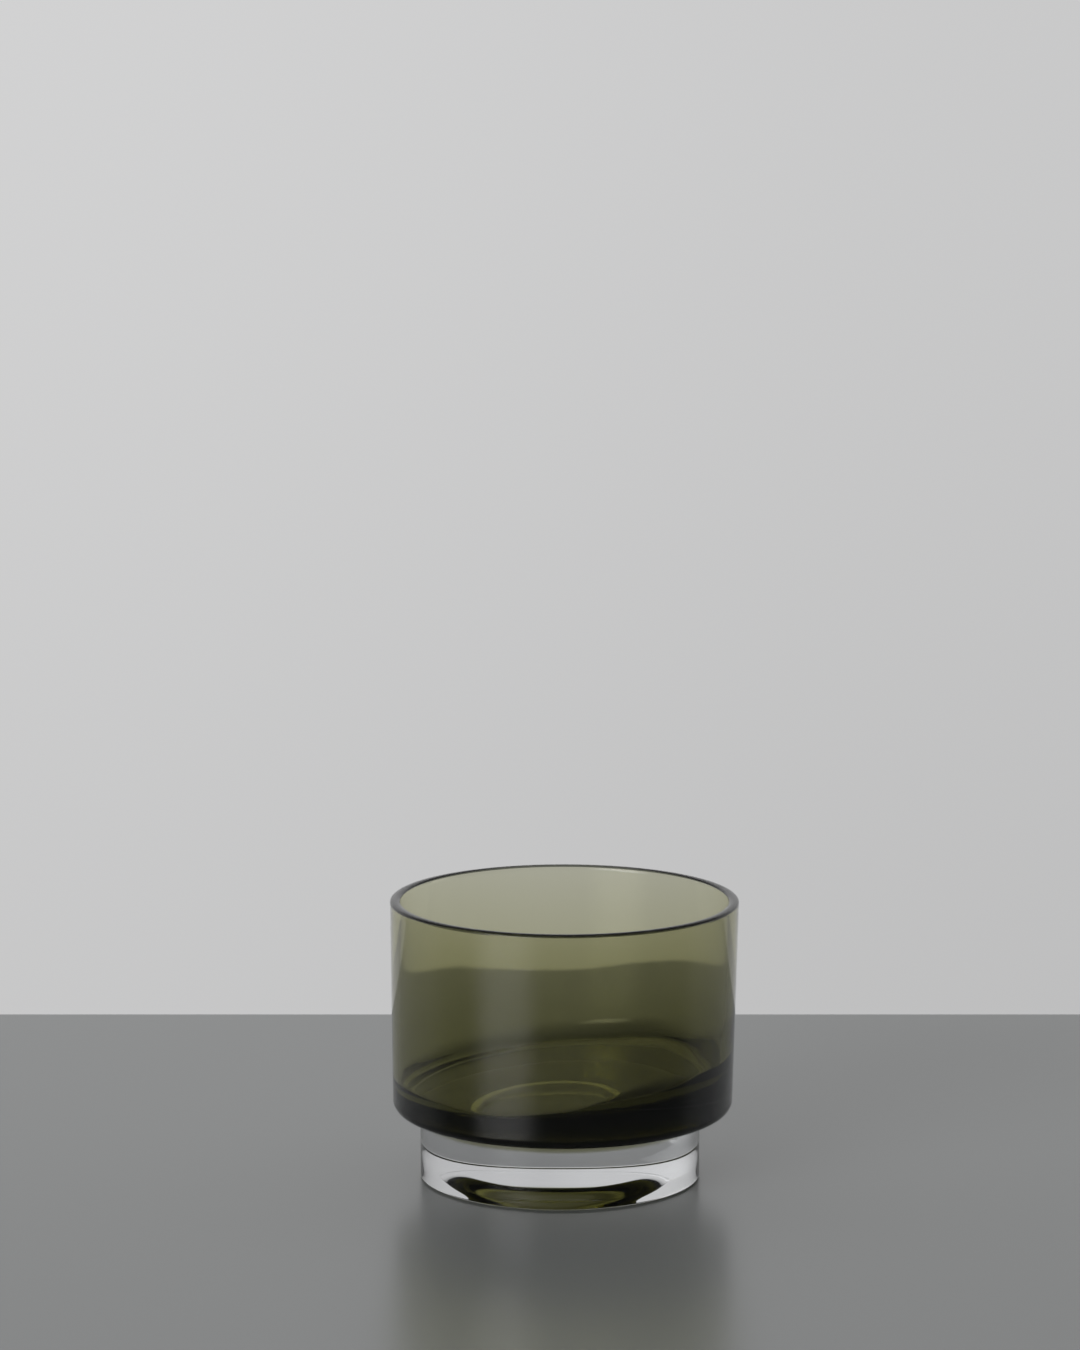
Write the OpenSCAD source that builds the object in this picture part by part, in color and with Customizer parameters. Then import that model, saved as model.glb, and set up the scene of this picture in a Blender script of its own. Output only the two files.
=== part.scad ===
// Cortado glass: a smoky olive tumbler fused hot onto a thick clear foot.
// The bowl's axis is the Z axis, and the table is the plane at height zero.

/* [Bowl] */
// Outside diameter at the rim
rim_d = 80; // [72:0.5:92]
// Height from the table to the top of the rim
glass_h = 65; // [50:0.5:95]
// Outside diameter just above the lower corner
low_d = 78.4; // [75:0.1:91]
// Wall thickness at the rim
rim_wall = 2.4; // [1.6:0.1:3.6]
// Wall thickness at the height of the floor
low_wall = 3.9; // [3.1:0.1:5]
// Thickness of the bowl's bottom, from its underside to the middle of the floor inside
bottom_t = 5.9; // [5:0.1:12]
// Radius of the lower corner outside
corner_r = 2.5; // [1:0.1:2.8]
// Radius between the floor and the wall inside, where the glass is thickest
floor_r = 6; // [5:0.1:10]
// How far the floor rises to one side, in degrees
floor_tilt = 3.8; // [0:0.1:5]
// How far the inside of the bottom sits off the axis, which leaves more glass on the other side
core_off = 3; // [0:0.1:3.5]
// Where the thick side is, in degrees around the axis
core_side = -35; // [-180:1:180]

/* [Pad of olive glass pressed onto the foot] */
// Height of the pad below the bowl's underside
pad_h = 2.5; // [1.2:0.1:5]
// Radius of the sunken corner between the pad and the underside
neck_r = 0.9; // [0.3:0.1:1.1]

/* [Foot] */
// How far the foot, and the pad that sits on it, stand back from the bowl's side
foot_step = 6.95; // [6:0.05:12]
// Height of the clear foot
foot_h = 13.3; // [7:0.1:20]
// How far the foot was set off the bowl's axis when the two were joined
foot_off = 1; // [0:0.1:1.5]
// Radius of the foot's lower edge
foot_edge_r = 0.4; // [0.2:0.1:1.5]
// Diameter of the hollow in the underside
hollow_d = 36.8; // [30:0.2:40]
// Depth of the hollow at its middle
hollow_h = 2.8; // [1.8:0.1:3.5]
// How much deeper the hollow is at its middle than at its shoulder
crown_h = 0.3; // [0.1:0.1:0.8]
// Radius of the hollow's shoulder
shoulder_r = 7.75; // [5:0.25:12]
// Radius of the edge where the hollow meets the standing ring
ring_edge_r = 0.3; // [0.2:0.1:0.6]
// How far the hollow sits off the foot's axis, to the left
hollow_left = 1; // [0:0.1:2]
// How far the hollow sits off the foot's axis, towards the front
hollow_front = 2; // [0:0.1:2]

/* [Smoothness] */
// Flat steps around a full turn, for the preview
round_steps = 180; // [96:12:360]

/* [Hidden] */
$fn = round_steps;

under_z = foot_h + pad_h;
floor_z = under_z + bottom_t;

// Outer wall: a straight line from the top of the lower corner to the rim's round edge.
rim_r = rim_d / 2;
low_r = low_d / 2;
low_z = under_z + corner_r;
lip_r = rim_wall / 2;
lip_z = glass_h - lip_r;

// Inner wall: a straight line too, so that the wall grows thicker on its way down to the underside.
in_rim_r = rim_r - rim_wall;
in_low_r = low_r - low_wall;
in_under_r = in_low_r - (in_rim_r - in_low_r) * bottom_t / (lip_z - floor_z);

// The core that shaped the floor: a rounded stump that flares upwards, so that it leaves the wall alone.
core_flare = 15;
core_over = 0.5;
core_r = in_low_r + core_off + core_over;
core_round_x = core_r - floor_r;
core_touch = [core_round_x + floor_r * cos(core_flare), floor_r - floor_r * sin(core_flare)];
core_top = [core_touch[0] + glass_h * tan(core_flare), core_touch[1] + glass_h];

// The block that the core was pressed into. Its side lies inside the glass of the wall.
block_r = (in_low_r + low_r - corner_r) / 2;
block_h = bottom_t + 2 * floor_r;

// The hollow's shoulder, and the shallow dome that touches it and closes the middle.
shoulder_z = hollow_h - crown_h - shoulder_r;
shoulder_x = hollow_d / 2 - sqrt(pow(shoulder_r, 2) - pow(shoulder_z, 2));
crown_gap = hollow_h - shoulder_z;
dome_r = (pow(shoulder_x, 2) + pow(crown_gap, 2) - pow(shoulder_r, 2)) / (2 * crown_h);
dome_z = hollow_h - dome_r;
dome_touch = [shoulder_x, shoulder_z - dome_z] * dome_r / (dome_r - shoulder_r) + [0, dome_z];

// The rounded edge of the hollow: a circle that touches the table plane and the shoulder.
edge_x = shoulder_x + sqrt(pow(shoulder_r + ring_edge_r, 2) - pow(ring_edge_r - shoulder_z, 2));
edge_tilt = atan2(ring_edge_r - shoulder_z, edge_x - shoulder_x);
edge_touch = [shoulder_x + shoulder_r * cos(edge_tilt), shoulder_z + shoulder_r * sin(edge_tilt)];

foot_r = low_r - foot_step;

// A round at a point of the section plane.
module round_at(x, z, r) { translate([x, z]) circle(r); }

// What fills a sunken corner: a square next to the corner, less the round that blends it.
module corner_fill(x, z, r, side_x, side_z) {
    difference() {
        translate([min(x, x + side_x * r), min(z, z + side_z * r)]) square(r);
        round_at(x + side_x * r, z + side_z * r, r);
    }
}

// Section of the wall: from the underside up to the fire-polished rim, thinner on its way up.
module wall_section() {
    polygon([
        [in_under_r, under_z], [low_r - corner_r, under_z], [low_r - corner_r, low_z], [low_r, low_z],
        [rim_r, lip_z], [in_rim_r, lip_z]
    ]);
    round_at(low_r - corner_r, low_z, corner_r);
    round_at(rim_r - lip_r, lip_z, lip_r);
}

// Section of the core, with its flat end at height zero.
module core_section() {
    polygon([[0, 0], [core_round_x, 0], core_touch, core_top, [0, core_top[1]]]);
    intersection() {
        round_at(core_round_x, floor_r, floor_r);
        translate([core_round_x, 0]) square([floor_r, floor_r]);
    }
}

// The thick bottom, with the core's print in it.
module bottom() {
    difference() {
        translate([0, 0, under_z]) cylinder(r = block_r, h = block_h);
        translate([-core_off * cos(core_side), -core_off * sin(core_side), floor_z])
            rotate([0, -floor_tilt, 0]) rotate_extrude() core_section();
    }
}

// Section of the pad, which curves outwards where it runs into the underside of the bowl.
module pad_section() {
    translate([0, foot_h]) square([foot_r, pad_h + bottom_t / 4]);
    corner_fill(foot_r, under_z, neck_r, 1, -1);
}

// Section of the foot, a puck with a rounded lower edge.
module puck_section() {
    square([foot_r - foot_edge_r, foot_h]);
    translate([0, foot_edge_r]) square([foot_r, foot_h - foot_edge_r]);
    round_at(foot_r - foot_edge_r, foot_edge_r, foot_edge_r);
}

// Section of the hollow: a dome in the middle, a round shoulder, and an edge that rolls into the standing ring.
module hollow_section() {
    intersection() {
        round_at(0, dome_z, dome_r);
        square([dome_touch[0], hollow_h]);
    }
    difference() {
        union() {
            intersection() {
                round_at(shoulder_x, shoulder_z, shoulder_r);
                translate([shoulder_x, 0]) square([shoulder_r, hollow_h]);
            }
            polygon([
                [0, -ring_edge_r], [edge_x, -ring_edge_r], [edge_x, ring_edge_r], edge_touch,
                dome_touch, [0, dome_touch[1]]
            ]);
        }
        round_at(edge_x, ring_edge_r, ring_edge_r);
    }
}

module bowl() {
    color([0.42, 0.41, 0.30, 0.6]) union() {
        rotate_extrude() wall_section();
        bottom();
        translate([-foot_off, 0, 0]) rotate_extrude() pad_section();
    }
}

module foot() {
    color([0.86, 0.89, 0.88, 0.5]) translate([-foot_off, 0, 0]) difference() {
        rotate_extrude() puck_section();
        translate([-hollow_left, -hollow_front, 0]) rotate_extrude() hollow_section();
    }
}

bowl();
foot();
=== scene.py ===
# %% [markdown]
# # A smoky cortado glass on a clear foot
#
# The object is a small drinking glass made of two pieces that were joined while hot: a cup of olive
# glass, and a solid puck of clear glass under it. Nearly everything that the eye sees is light that has
# bent its way through both, so the shapes have to be right all the way round, inside and out, before any
# material can look right. The lesson goes in that order: the frame, the camera, the unevenness of hand
# work, the two sections, the meshes, the glass and the studio.

# %% Load the frame
import math

import bmesh
import bpy
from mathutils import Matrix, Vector, noise


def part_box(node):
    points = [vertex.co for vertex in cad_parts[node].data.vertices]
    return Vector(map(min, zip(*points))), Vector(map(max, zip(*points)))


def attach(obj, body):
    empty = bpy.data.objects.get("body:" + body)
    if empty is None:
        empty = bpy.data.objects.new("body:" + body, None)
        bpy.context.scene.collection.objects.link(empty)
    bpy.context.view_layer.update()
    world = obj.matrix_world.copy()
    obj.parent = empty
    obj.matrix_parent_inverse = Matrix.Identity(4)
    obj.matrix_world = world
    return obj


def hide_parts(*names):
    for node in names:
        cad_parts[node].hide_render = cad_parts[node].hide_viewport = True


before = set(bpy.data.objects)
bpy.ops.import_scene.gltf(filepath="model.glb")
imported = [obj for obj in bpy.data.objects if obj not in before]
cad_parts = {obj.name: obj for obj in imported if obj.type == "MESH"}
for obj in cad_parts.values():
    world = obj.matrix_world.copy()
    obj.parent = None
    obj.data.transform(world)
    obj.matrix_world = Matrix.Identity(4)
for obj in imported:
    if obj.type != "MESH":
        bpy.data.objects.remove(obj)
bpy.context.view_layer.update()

bowl_low, bowl_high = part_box("bowl")
foot_low, foot_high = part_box("foot")
print("bowl from", bowl_low[:], "to", bowl_high[:])
print("foot from", foot_low[:], "to", foot_high[:])

# %% [markdown]
# ## The sizes
#
# Blender works in metres here, and the glass is drawn in millimetres, so one factor turns one into the
# other. What the frame can tell is read from it: the rim, the height, the foot's diameter, its height and
# how far it sits off the bowl's axis. Only what the frame can't tell is written down again: the wall's
# thickness and its lower end, the bottom, the pad, the rounds and the hollow. The round between floor and
# wall is smaller here than in the construction, because the floor's print adds its own round further on.

# %% Sizes of the glass
MM = 0.001

rim_r = bowl_high.x
glass_h = bowl_high.z
joint_h = foot_high.z
foot_r = (foot_high.x - foot_low.x) / 2
foot_x = (foot_high.x + foot_low.x) / 2

low_r = 39.2 * MM
rim_wall = 2.4 * MM
low_wall = 3.9 * MM
bottom_t = 5.9 * MM
corner_r = 2.5 * MM
floor_r = 4.5 * MM
pad_h = 2.5 * MM
neck_r = 0.9 * MM
foot_edge_r = 0.4 * MM
hollow_r = 18.4 * MM
hollow_h = 2.8 * MM
crown_h = 0.3 * MM
shoulder_r = 7.75 * MM
ring_edge_r = 0.3 * MM
hollow_left = 1 * MM
hollow_front = 2 * MM
hollow_at = (foot_x - hollow_left, -hollow_front)

under_h = joint_h + pad_h
inside_h = under_h + bottom_t


def in_mm(lengths):
    """Lengths in millimetres, for printing."""
    return [round(length / MM, 3) for length in lengths]


print("underside of the bowl and its floor, in mm:", in_mm((under_h, inside_h)))

# %% [markdown]
# ## The camera
#
# The photograph was taken with a long lens from a little above the table. The rim gives it away: its
# ellipse is about a fifth as high as it is wide, so the line of sight drops by 12 degrees there, and the
# foot's lower edge is rounder, because it lies further below the lens. Both together give the distance. A
# lens of 115 mm on a frame of 36 mm, a metre away and tilted down by 9 degrees, puts every edge of the
# glass where the photograph has it.

# %% Camera
LENS = 114.67
FRAME_WIDTH = 36
NEAREST = 10 * MM
TILT = math.radians(8.93)
CAMERA_AT = Vector((-5.6, -965.7, 268.5)) * MM

scene = bpy.context.scene
camera_data = bpy.data.cameras.new("camera")
camera_data.lens = LENS
camera_data.sensor_width = FRAME_WIDTH
camera_data.clip_start = NEAREST
camera = bpy.data.objects.new("camera", camera_data)
camera.location = CAMERA_AT
camera.rotation_euler = (math.pi / 2 - TILT, 0, 0)
scene.collection.objects.link(camera)
scene.camera = camera
print("camera at", CAMERA_AT[:])

# %% [markdown]
# ## Turned sections
#
# Both pieces are turned forms, so each is drawn as a section and swept around its axis. A modifier could
# do the sweep, but a hand-made glass is never quite round: its wall swells and thins a little as it goes
# round. So the sweep is written out, and each ring of the section can say where its own centre is and how
# it wanders.
#
# A section is a list of rings. Straight stretches get enough rings to carry the slow waves of the wall,
# and every corner is a true arc. How a ring wanders is a function of the angle, the ring's radius and its
# height, which says how far a point moves outwards and upwards.

# %% Rings, lines and arcs
SIDES = 320


def ring(r, z, centre=(0.0, 0.0), wander=None, joint=False):
    """One ring of a section: its radius, its height, its centre, how it wanders, and the joint's mark."""
    return {"r": r, "z": z, "centre": centre, "wander": wander, "joint": joint}


def line(start, end, count, **more):
    """Rings on a straight stretch of the section, without its last end."""
    return [
        ring(start[0] + (end[0] - start[0]) * i / count, start[1] + (end[1] - start[1]) * i / count, **more)
        for i in range(count)
    ]


def arc(x, z, r, first, last, count, **more):
    """Rings on an arc, both ends included. Angles are in degrees, from straight outwards."""
    turn = [math.radians(first + (last - first) * i / count) for i in range(count + 1)]
    return [ring(x + r * math.cos(a), z + r * math.sin(a), **more) for a in turn]


print("each ring has", SIDES, "points, one every", 360 / SIDES, "degrees")

# %% [markdown]
# ## Slow waves
#
# Slow noise moves the outer wall by a few hundredths of a millimetre, and the inner wall by about a tenth.
# That is far too little to see as a shape, but a wall of glass is a lens: it makes the edge of the table,
# seen through the bowl, run in a wavy line. A noise in the material could bend the light as well, but
# waves in the mesh are part of the piece's own shape. The noise is read on a circle, so that it closes on
# itself, and the outer wall moves inwards only, so that the piece keeps its box.

# %% Waves of the outer wall
OUTER_WAVE = 0.03 * MM
STEPS_PER_M = 100


def slow_noise(angle, height, turns, rise, seed):
    """Smooth noise around the glass: about `turns` swells in a round and `rise` swells in 10 mm of height."""
    spread = turns / math.tau
    up = height * STEPS_PER_M * rise + seed
    return noise.noise(Vector((math.cos(angle) * spread, math.sin(angle) * spread, up)))


def outside(angle, r, z):
    """How far a point outside leaves its true place, outwards and upwards."""
    return -OUTER_WAVE + OUTER_WAVE * slow_noise(angle, z, turns=7, rise=0.25, seed=3.1), 0.0


quarters = [math.tau * i / 4 for i in range(4)]
print("outer wall at the rim, in mm:", in_mm(outside(angle, rim_r, glass_h)[0] for angle in quarters))

# %% [markdown]
# ## The floor's print
#
# The floor isn't level. A core pressed it into the soft bottom, tilted by nearly four degrees and three
# millimetres off the axis, so one side of the bottom is thicker, and the floor's edge is an ellipse that
# leans. A Boolean with a tilted core would do it too, but it leaves a hard seam where the core meets the
# wall. So a formula says how far the floor lies above its middle: a slope, and the core's round edge near
# the wall. That edge would end upright, so the formula stops a little before.

# %% Height of the floor
CORE_SIDE = math.radians(-35)
CORE_OFF = 3 * MM
CORE_FLAT_R = 32.8 * MM
CORE_ROUND = 6 * MM
CURL_LIMIT_SHARE = 0.97
FLOOR_TILT = math.radians(3.8)


def floor_rise(x, y):
    """How far the floor is above its middle: it was printed by a tilted core, a little off the axis."""
    x, y = x + CORE_OFF * math.cos(CORE_SIDE), y + CORE_OFF * math.sin(CORE_SIDE)
    curl = min(max(math.hypot(x, y) - CORE_FLAT_R, 0), CORE_ROUND * CURL_LIMIT_SHARE)
    return x * math.tan(FLOOR_TILT) + CORE_ROUND - math.sqrt(CORE_ROUND**2 - curl**2)


floor_edge = 30 * MM
print("floor at the left and the right, in mm:", in_mm(floor_rise(x, 0) for x in (-floor_edge, floor_edge)))

# %% [markdown]
# ## The inner corner
#
# Wall and floor meet in a round, and it isn't the same all the way round either. In front it is nearly
# missing, and at the right half of it is. This decides where the black band above the foot begins: a ray
# from the camera that passes below the corner goes into the solid bottom and finds no light, and one that
# passes above it still reaches the floor. Two soft steps carry each flat spot, because a hard one would
# draw a line down the glass.

# %% Missing share of the corner
FRONT_SPOT = -98
FRONT_SHARE = 0.9
FRONT_FLAT = 10
FRONT_END_RIGHT = 42
FRONT_END_LEFT = 60
RIGHT_SPOT = -28
RIGHT_SHARE = 0.5
RIGHT_FLAT = 5
RIGHT_END = 30


def fade(value, low, high):
    """0 below low, 1 above high, and a smooth step between them."""
    share = min(max((value - low) / (high - low), 0), 1)
    return share * share * (3 - 2 * share)


def corner_cut(angle):
    """Which share of the inner corner's round is missing. Spots and ends are in degrees around the axis."""
    side = math.degrees(angle) - 360 * (angle > math.pi)
    front_end = FRONT_END_RIGHT if side > FRONT_SPOT else FRONT_END_LEFT
    front = 1 - fade(abs(side - FRONT_SPOT), FRONT_FLAT, front_end)
    right = 1 - fade(abs(side - RIGHT_SPOT), RIGHT_FLAT, RIGHT_END)
    return FRONT_SHARE * front + RIGHT_SHARE * right


print("missing share of the corner at four sides:", [round(corner_cut(angle), 2) for angle in quarters])

# %% [markdown]
# ## The inside of the wall
#
# The wall is thicker in front and behind than at the sides, and more so near the floor. It shows twice:
# the pale bands at both sides of the bowl are narrow, and the far edge of the table stands higher in the
# glass than beside it, because a wall that grows thicker downwards is a wedge, and a wedge lifts what is
# seen through it. A plain cone inside would give one or the other. The squeeze is the difference between
# front and side near the floor: a share of it thins the sides, and the rest thickens front and back. The
# wall is also a little thicker at the right, low down. On the floor all of this fades towards the axis.

# %% Thickness of the wall
INNER_WAVE = 0.12 * MM
INNER_RIPPLE = 0.03 * MM
THICK_SIDE = math.radians(-10)
THICK = 0.6 * MM
THICK_TOP = 38 * MM
THICK_FULL = inside_h + 2 * MM
SQUEEZE = 2.6 * MM
SQUEEZE_SIDE_SHARE = 0.42
SQUEEZE_FULL_AT = 0.95
PRINT_TOP = 50 * MM


def inside(angle, r, z):
    """How far a point inside leaves its true place. Near the floor it also follows the core's print."""
    swell = INNER_WAVE * slow_noise(angle, z, turns=6, rise=0.12, seed=11.7)
    swell += INNER_RIPPLE * slow_noise(angle, z, turns=16, rise=0.6, seed=21.3)
    thick = THICK * fade(z, THICK_TOP, THICK_FULL) * max(math.cos(angle - THICK_SIDE), 0) ** 2
    uneven = fade(abs(math.sin(angle)), 0, SQUEEZE_FULL_AT) - SQUEEZE_SIDE_SHARE
    thick += SQUEEZE * (glass_h - z) / (glass_h - inside_h) * uneven
    rise = fade(z, PRINT_TOP, inside_h) * floor_rise(r * math.cos(angle), r * math.sin(angle))
    cut = corner_cut(angle) * min(z - inside_h, floor_r) * fade(z, PRINT_TOP, inside_h + floor_r)
    return (swell - thick) * (r / rim_r) ** 2, rise - cut


mid_h = (glass_h + inside_h) / 2
print("inner wall at mid height, in mm:", in_mm(inside(angle, rim_r, mid_h)[0] for angle in quarters))

# %% [markdown]
# ## The foot's side and the bowl's lean
#
# In front the foot's side stands back a little towards its lower edge, as if it had been pressed there,
# and the whole bowl leans to the left by less than half a millimetre. Both come from the outline in the
# photograph. The rim stays where the axis should be, so that the piece keeps its box.

# %% Side and lean
LEAN = 0.4 * MM
FOOT_LEAN = math.radians(4)


def foot_side(angle, r, z):
    """How far the foot's side stands back in front, towards its lower edge."""
    front = max(-math.sin(angle), 0)
    return -math.tan(FOOT_LEAN) * (joint_h - z) * front * front * (3 - 2 * front), 0.0


def lean(z):
    """Where the bowl's axis is at a height."""
    return -LEAN * (glass_h - z) / (glass_h - under_h), 0.0


print("the foot's side in front, at its lower edge, in mm:", in_mm(foot_side(quarters[3], foot_r, 0)))

# %% [markdown]
# ## The bowl
#
# The bowl is one closed skin: along the joint from the axis outwards, up the pad, along the underside,
# round the corner, up the outside, over the rim, down the inside and back to the axis along the floor.
# The pad's rings sit on the foot's axis and the rest on the bowl's own, and the flat underside takes up
# the difference.
#
# The rim was melted round in a flame. Its top is a little flatter than a full round: a flat arc between
# two tight ones. A full round is a fat lens that shows the dark inside as a broad line along the front of
# the rim, and the flatter top shows a thin one, with the pale wall mirrored above it.

# %% Section of the bowl
LIP_TURN = 70
lip_r = 0.55 * MM
crown_r = lip_r + (rim_wall / 2 - lip_r) / math.cos(math.radians(LIP_TURN))
crown_z = glass_h - crown_r
lip_h = crown_z + (crown_r - lip_r) * math.sin(math.radians(LIP_TURN))
rim_in_r = rim_r - rim_wall
low_in_r = low_r - low_wall
FLAT_STEPS = 10
FLOOR_STEPS = 40
WALL_STEPS = 60
ROUND_STEPS = 16
PAD_STEPS = 6
SMALL_STEPS = 8


def bowl_section():
    """The bowl's rings, from the joint's middle round to the floor's middle."""
    rings = line((0, joint_h), (foot_r, joint_h), FLAT_STEPS, centre=(foot_x, 0), joint=True)
    rings += line((foot_r, joint_h), (foot_r, under_h - neck_r), PAD_STEPS, centre=(foot_x, 0))
    rings += arc(foot_r + neck_r, under_h - neck_r, neck_r, 180, 90, SMALL_STEPS, centre=(foot_x, 0))
    on_foot = len(rings)
    rings += arc(low_r - corner_r, under_h + corner_r, corner_r, -90, 0, ROUND_STEPS)[:-1]
    rings += line((low_r, under_h + corner_r), (rim_r, lip_h), WALL_STEPS, wander=outside)
    rings += arc(rim_r - lip_r, lip_h, lip_r, 0, LIP_TURN, ROUND_STEPS)
    rings += arc(rim_r - rim_wall / 2, crown_z, crown_r, LIP_TURN, 180 - LIP_TURN, ROUND_STEPS)[1:-1]
    rings += arc(rim_in_r + lip_r, lip_h, lip_r, 180 - LIP_TURN, 180, ROUND_STEPS)[:-1]
    rings += line((rim_in_r, lip_h), (low_in_r, inside_h + floor_r), WALL_STEPS, wander=inside)
    rings += arc(low_in_r - floor_r, inside_h + floor_r, floor_r, 0, -90, ROUND_STEPS, wander=inside)[:-1]
    rings += line((low_in_r - floor_r, inside_h), (0, inside_h), FLOOR_STEPS, wander=inside)
    rings.append(ring(0, inside_h + floor_rise(0, 0)))
    for one in rings[on_foot:]:
        one["centre"] = lean(one["z"])
    return rings


print("rings of the bowl:", len(bowl_section()))

# %% [markdown]
# ## The foot
#
# The foot is a puck with a hollow in its underside: a shallow dome in the middle, a round shoulder around
# it, and an edge that rolls into the flat ring that the glass stands on. The hollow matters more than its
# depth of three millimetres suggests. From the camera, the foot's lower face is a mirror, and the
# shoulder is the curved part of that mirror. It throws the view up into the dark bowl, so it shows as a
# dark lens in the clear foot, with the olive of the bowl in its middle. A plain ball-shaped dome would
# show a much smaller lens.
#
# The circles touch each other, so their centres follow from five sizes: the hollow's radius and height,
# the shoulder's radius, the crown's height and the radius of the rolled edge.

# %% The hollow's circles
shoulder_z = hollow_h - crown_h - shoulder_r
shoulder_x = hollow_r - math.sqrt(shoulder_r**2 - shoulder_z**2)
dome_r = (shoulder_x**2 + (hollow_h - shoulder_z) ** 2 - shoulder_r**2) / (2 * crown_h)
dome_z = hollow_h - dome_r
edge_x = shoulder_x + math.sqrt((shoulder_r + ring_edge_r) ** 2 - (ring_edge_r - shoulder_z) ** 2)
dome_end = math.degrees(math.atan2(shoulder_z - dome_z, shoulder_x))
edge_tilt = math.degrees(math.atan2(ring_edge_r - shoulder_z, edge_x - shoulder_x))
print("radius of the dome, in mm:", in_mm([dome_r]))
print("slopes where it ends and where the shoulder ends:", round(90 - dome_end, 1), round(90 - edge_tilt, 1))

# %% Section of the foot
SIDE_STEPS = 12
SHOULDER_STEPS = 40


def foot_section():
    """The foot's rings, from the hollow's middle round to the joint's middle."""
    at, side = {"centre": hollow_at}, {"centre": (foot_x, 0), "wander": foot_side}
    rings = [ring(0, hollow_h, **at)] + arc(0, dome_z, dome_r, 90, dome_end, SIDE_STEPS, **at)[1:-1]
    rings += arc(shoulder_x, shoulder_z, shoulder_r, dome_end, edge_tilt, SHOULDER_STEPS, **at)
    rings += arc(edge_x, ring_edge_r, ring_edge_r, 180 + edge_tilt, 270, SMALL_STEPS, **at)[1:]
    rings += arc(foot_r - foot_edge_r, foot_edge_r, foot_edge_r, -90, 0, ROUND_STEPS, **side)[:-1]
    rings += line((foot_r, foot_edge_r), (foot_r, joint_h), SIDE_STEPS, **side)
    rings += line((foot_r, joint_h), (0, joint_h), FLAT_STEPS, centre=(foot_x, 0), joint=True)
    return rings + [ring(0, joint_h, centre=(foot_x, 0), joint=True)]


print("rings of the foot:", len(foot_section()))

# %% [markdown]
# ## From rings to a mesh
#
# Each ring becomes a circle of points, or one point where it lies on the axis, and neighbours are joined
# by four-sided faces. The faces that begin at a ring of the joint are marked in an attribute, and the
# joint is drawn in by a hair so that the two pieces don't share a plane. The material reads the mark later.

# %% Lathe
HAIR = 0.01 * MM
SHARP = math.radians(40)
JOINT_MARK = "joint"


def to_object(shape, name):
    """Puts a finished shape into the scene as an object, and frees the shape."""
    mesh = bpy.data.meshes.new(name)
    shape.to_mesh(mesh)
    shape.free()
    made = bpy.data.objects.new(name, mesh)
    scene.collection.objects.link(made)
    return made


def lathe(name, section, hair):
    """Sweeps a section around and returns the new object. hair moves the joint's rings up or down."""
    shape = bmesh.new()
    mark = shape.faces.layers.float.new(JOINT_MARK)
    turns = [math.tau * i / SIDES for i in range(SIDES)]
    circles = []
    for one in section:
        z = one["z"] + (hair if one["joint"] else 0)
        if one["r"] <= 0:
            circles.append([shape.verts.new((*one["centre"], z))])
            continue
        points = []
        for angle in turns:
            out, up = one["wander"](angle, one["r"], one["z"]) if one["wander"] else (0, 0)
            x, y = (one["r"] + out) * math.cos(angle), (one["r"] + out) * math.sin(angle)
            points.append(shape.verts.new((one["centre"][0] + x, one["centre"][1] + y, z + up)))
        circles.append(points)
    for one, low, high in zip(section, circles, circles[1:]):
        flag = 1.0 if one["joint"] else 0.0
        for i in range(SIDES):
            j = (i + 1) % SIDES
            corners = [low[i % len(low)], low[j % len(low)], high[j % len(high)], high[i % len(high)]]
            face = shape.faces.new(dict.fromkeys(corners))
            face[mark] = flag
            face.smooth = True
    bmesh.ops.recalc_face_normals(shape, faces=shape.faces)
    made = to_object(shape, name)
    made.data.set_sharp_from_angle(angle=SHARP)
    print(name, "has", len(made.data.vertices), "points and", len(made.data.polygons), "faces")
    return made


bowl = lathe("olive_bowl", bowl_section(), HAIR)
foot = lathe("clear_foot", foot_section(), -HAIR)

# %% [markdown]
# ## Shader sums in Python
#
# A material is a graph of nodes. Written node by node it is long and hard to read, so one small class
# wraps a node's output and lets Python's own signs add the Math nodes. Every other node comes from its
# method `node`.

# %% Wires
def feed(tree, socket, value):
    """Gives a socket a wire or a plain value."""
    if isinstance(value, Wire):
        tree.links.new(value.end, socket)
    else:
        socket.default_value = value


class Wire:
    """One output of a shader node. Sums on wires add Math nodes."""

    def __init__(self, tree, end=None):
        self.tree, self.end = tree, end

    def node(self, kind, settings=None, values=None, out=0):
        """Adds a node. Its settings come first, then a value or a wire for each named or numbered socket."""
        made = self.tree.nodes.new("ShaderNode" + kind)
        for name, value in (settings or {}).items():
            setattr(made, name, value)
        for name, value in (values or {}).items():
            feed(self.tree, made.inputs[name], value)
        return Wire(self.tree, made.outputs[out] if len(made.outputs) else None)

    def sum(self, operation, *values):
        """A Math node on the given values and wires."""
        return self.node("Math", {"operation": operation}, dict(enumerate(values)))

    def __add__(self, other):
        return self.sum("ADD", self, other)

    def __mul__(self, other):
        return self.sum("MULTIPLY", self, other)

    def __sub__(self, other):
        return self.sum("SUBTRACT", self, other)

    def __rsub__(self, other):
        return self.sum("SUBTRACT", other, self)

    __radd__, __rmul__ = __add__, __mul__


def new_material(name):
    """An empty material, and the wire that its nodes start from."""
    material = bpy.data.materials.new(name)
    material.use_nodes = True
    material.node_tree.nodes.clear()
    return material, Wire(material.node_tree)


print("signs that wires understand: + - *")

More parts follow.
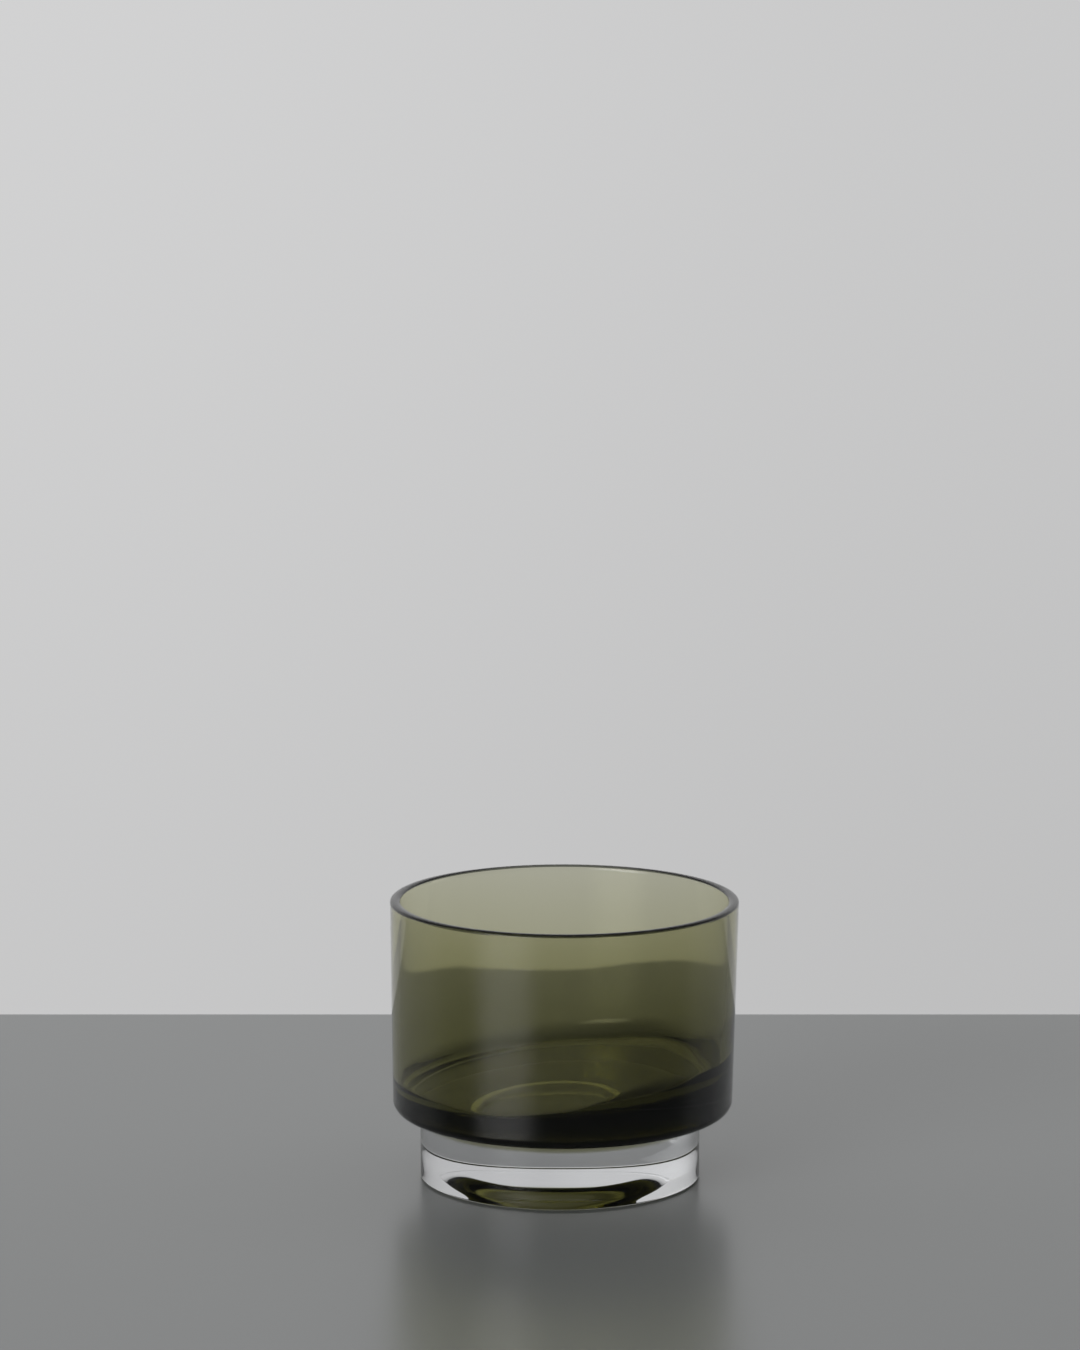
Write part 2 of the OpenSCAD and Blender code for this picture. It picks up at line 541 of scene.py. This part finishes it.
# %% [markdown]
# ## Glass with a body colour
#
# The colour of this glass isn't on its surface. It is in the body, and grows with the way that light
# takes through it: one wall is a pale olive, two are darker, and the thick bottom is almost black. So the
# surface stays white, and Volume Absorption does the colouring. It is set by the rate at which each
# colour fades in one millimetre. The node wants a density and a colour, so the density is taken a little
# above the fastest rate, and the colour holds what each rate leaves of it. A tinted surface would be
# easier, but it would give the thin wall and the thick bottom one colour.
#
# The surface is nearly smooth. A bump of about a hundredth of a millimetre makes reflections a little
# uneven, and a slight haze softens what is seen far behind the glass more than what is close to it.
#
# The real joint is fused, and light crosses it without bending. Two glass skins face to face would act as
# a mirror, so the joint's faces are Transparent: a mix, driven by the mark.

# %% Glass
GLASS_BEND = 1.5
RIPPLE = 0.05 * MM
RIPPLES_PER_M = (30, 30, 110)
FINE_PER_M = 900.0
FINE_SHARE = 0.02
SMEAR = 0.02
SMEARS_PER_M = 60.0
DENSITY_ROOM = 1.05


def glass(name, per_mm, ripples, haze):
    """A glass. per_mm is the rate at which its body fades red, green and blue in each millimetre."""
    material, start = new_material(name)
    place = start.node("TexCoord", out="Object")
    stretched = start.node("Mapping", values={"Vector": place, "Scale": RIPPLES_PER_M})
    ripple = start.node("TexNoise", values={"Vector": stretched, "Scale": 1.0, "Detail": 2.0})
    fine = start.node("TexNoise", values={"Vector": place, "Scale": FINE_PER_M, "Detail": 1.0})
    height = ripple + fine * FINE_SHARE
    bump = start.node("Bump", values={"Height": height, "Strength": ripples, "Distance": RIPPLE})
    smear = start.node("TexNoise", values={"Vector": place, "Scale": SMEARS_PER_M, "Detail": 3.0})
    surface = start.node("BsdfPrincipled", values={
        "Base Color": (1, 1, 1, 1), "Roughness": smear * SMEAR + haze, "IOR": GLASS_BEND,
        "Transmission Weight": 1.0, "Normal": bump,
    })
    through = start.node("BsdfTransparent")
    mark = start.node("Attribute", {"attribute_name": JOINT_MARK}, out="Fac")
    skin = start.node("MixShader", values={0: mark, 1: surface, 2: through})
    most = max(per_mm) * DENSITY_ROOM
    body = start.node("VolumeAbsorption", values={
        "Color": (*(1 - loss / most for loss in per_mm), 1), "Density": most / MM,
    })
    start.node("OutputMaterial", values={"Surface": skin, "Volume": body})
    return material


OLIVE_PER_MM = (0.132, 0.134, 0.226)
CLEAR_PER_MM = (0.0022, 0.002, 0.0018)
olive_glass = glass("smoky_olive", OLIVE_PER_MM, ripples=0.3, haze=0.03)
clear_glass = glass("clear_puck", CLEAR_PER_MM, ripples=0.05, haze=0.0)
one_wall = [round(math.exp(-loss * rim_wall / MM), 2) for loss in OLIVE_PER_MM]
print("one wall at the rim lets through", one_wall, "of red, green and blue")

# %% [markdown]
# ## Putting the pieces in the frame
#
# The two meshes take the places of the two solids of the construction. Each rides on the glass's one
# body, so it goes wherever that body goes. It hides the plain solid that it replaces, and gets its own
# glass material.

# %% Ride, replace and dress
bowl.data.materials.append(olive_glass)
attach(bowl, "root")
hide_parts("bowl")

foot.data.materials.append(clear_glass)
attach(foot, "root")
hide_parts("foot")
print("pieces:", bowl.name, "and", foot.name)

# %% [markdown]
# ## The table
#
# The glass stands on a plain pale table that ends a hand's width behind it. Its far edge matters, because
# it is the one line that is seen both beside the glass and through it. The table has a soft sheen: looked
# at along its length, it mirrors the pale wall. In front of the foot the glass hides that mirror image,
# and that is most of the shadow there. The sheet lies a tenth of a millimetre below the foot, so that the
# two don't share a plane.

# %% Table
TABLE_EDGE = 158 * MM
TABLE_REACH = 3
SHEET_GAP = 0.1 * MM
TABLE_PALE = (0.52, 0.545, 0.545)
TABLE_SHEEN = 0.27
TABLE_BEND = 2.5


def sheet(name, x, y, z, colour, roughness):
    """A flat sheet of the studio, from one corner to the other."""
    shape = bmesh.new()
    corners = [(x[0], y[0], z), (x[1], y[0], z), (x[1], y[1], z), (x[0], y[1], z)]
    shape.faces.new([shape.verts.new(corner) for corner in corners])
    made = to_object(shape, name)
    material, start = new_material(name)
    surface = start.node("BsdfPrincipled", values={
        "Base Color": (*colour, 1), "Roughness": roughness, "IOR": TABLE_BEND,
    })
    start.node("OutputMaterial", values={"Surface": surface})
    made.data.materials.append(material)
    return made


reach = (-TABLE_REACH, TABLE_REACH)
table = sheet("table", reach, (-TABLE_REACH, TABLE_EDGE), -SHEET_GAP, TABLE_PALE, TABLE_SHEEN)
print("the", table.name, "ends", TABLE_EDGE / MM, "mm behind the bowl's axis")

# %% [markdown]
# ## The room
#
# A glass shows the room more than itself, so all the light comes from the room around it: the world,
# painted by direction. Lamps would show as hard spots in the rim. The painting starts with the direction
# of view, split into its three parts, and a soft step between two limits. Every edge in the room is such
# a step, so none of them is hard.

# %% Directions in the room
world = bpy.data.worlds.new("studio")
world.use_nodes = True
world.node_tree.nodes.clear()
start = Wire(world.node_tree)
way = start.node("TexCoord", out="Generated")
across, along, up = (start.node("SeparateXYZ", values={"Vector": way}, out=part) for part in "XYZ")
turned = start.sum("ARCTAN2", across, along * -1)


def ease(value, low, high):
    """0 below low, 1 above high and a smooth step between them."""
    return start.node("MapRange", {"interpolation_type": "SMOOTHSTEP"}, {
        "Value": value, "From Min": low, "From Max": high, "To Min": 0.0, "To Max": 1.0})


print("nodes so far:", len(world.node_tree.nodes))

# %% [markdown]
# ## The pale wall
#
# Behind the table is a pale wall, a little darker at its foot and at the right, and much dimmer high up.
# The room on the camera's side is nearly dark, with a little light from above. That contrast gives the
# smoky glass its dark lower band and clean edges: in an evenly bright room the bowl would look grey and
# flat.

# %% Pale wall and dim room
ROOM = 0.05
WALL = 0.505
WALL_UP = 0.08
WALL_LEFT = 0.06
HIGH_LOSS_SHARE = 0.8
ABOVE_SHARE = 0.2
WALL_BEGINS = (-0.15, 0.2)
WALL_ENDS = (0.3, 0.6)
WALL_FOOT = (-0.3, 0.02)
WALL_MIDDLE = (-0.15, 0.15)
FLOOR_BEGINS = (0.0, 0.15)
CEILING_BEGINS = (0.5, 0.95)

back = ease(along, *WALL_BEGINS) * (1 - ease(up, *WALL_ENDS) * HIGH_LOSS_SHARE)
below = ease(up * -1, *FLOOR_BEGINS)
above = ease(up, *CEILING_BEGINS) * ABOVE_SHARE
pale = start.sum("MAXIMUM", start.sum("MAXIMUM", back, below), above)
wall = ease(up, *WALL_FOOT) * WALL_UP + ease(across * -1, *WALL_MIDDLE) * WALL_LEFT + WALL
print("the wall is", WALL / ROOM, "times as bright as the room in front of it")

# %% [markdown]
# ## The soft box
#
# One large soft box stands low at the left in front. The table mirrors it, and the outside of the bowl
# mirrors the table, which draws the pale upright streak on the bowl's left half. It fades out on all four
# sides, because its image in the photograph has no hard edge.

# %% Soft box
SOFT_BOX = 3.8
BOX_LEFT = (math.radians(-68), math.radians(-46))
BOX_RIGHT = (math.radians(-34), math.radians(-12))
BOX_FOOT = (0.05, 0.2)
BOX_TOP = (0.32, 0.5)
COOL_WHITE = (1, 1, 1.005, 1)

side = ease(turned, *BOX_LEFT) * (1 - ease(turned, *BOX_RIGHT))
tall = ease(up, *BOX_FOOT) * (1 - ease(up, *BOX_TOP))
level = pale * (wall - ROOM) + ROOM + side * tall * SOFT_BOX
sky = start.node("Background", values={"Color": COOL_WHITE, "Strength": level})
start.node("OutputWorld", values={"Surface": sky})
scene.world = world
print("nodes in the world:", len(world.node_tree.nodes))

# %% [markdown]
# ## How far light is followed
#
# A ray that enters the foot is mirrored many times before it leaves, so more bounces are allowed than
# usual, or the thick parts turn black. The Standard view keeps the pale tones as they were set.

# %% Bounces and view
BOUNCES = 32

scene.view_settings.view_transform = "Standard"
scene.cycles.max_bounces = BOUNCES
scene.cycles.transmission_bounces = BOUNCES
scene.cycles.transparent_max_bounces = BOUNCES
scene.cycles.glossy_bounces = BOUNCES // 2
scene.cycles.use_denoising = True
print("light is followed for", BOUNCES, "bounces")
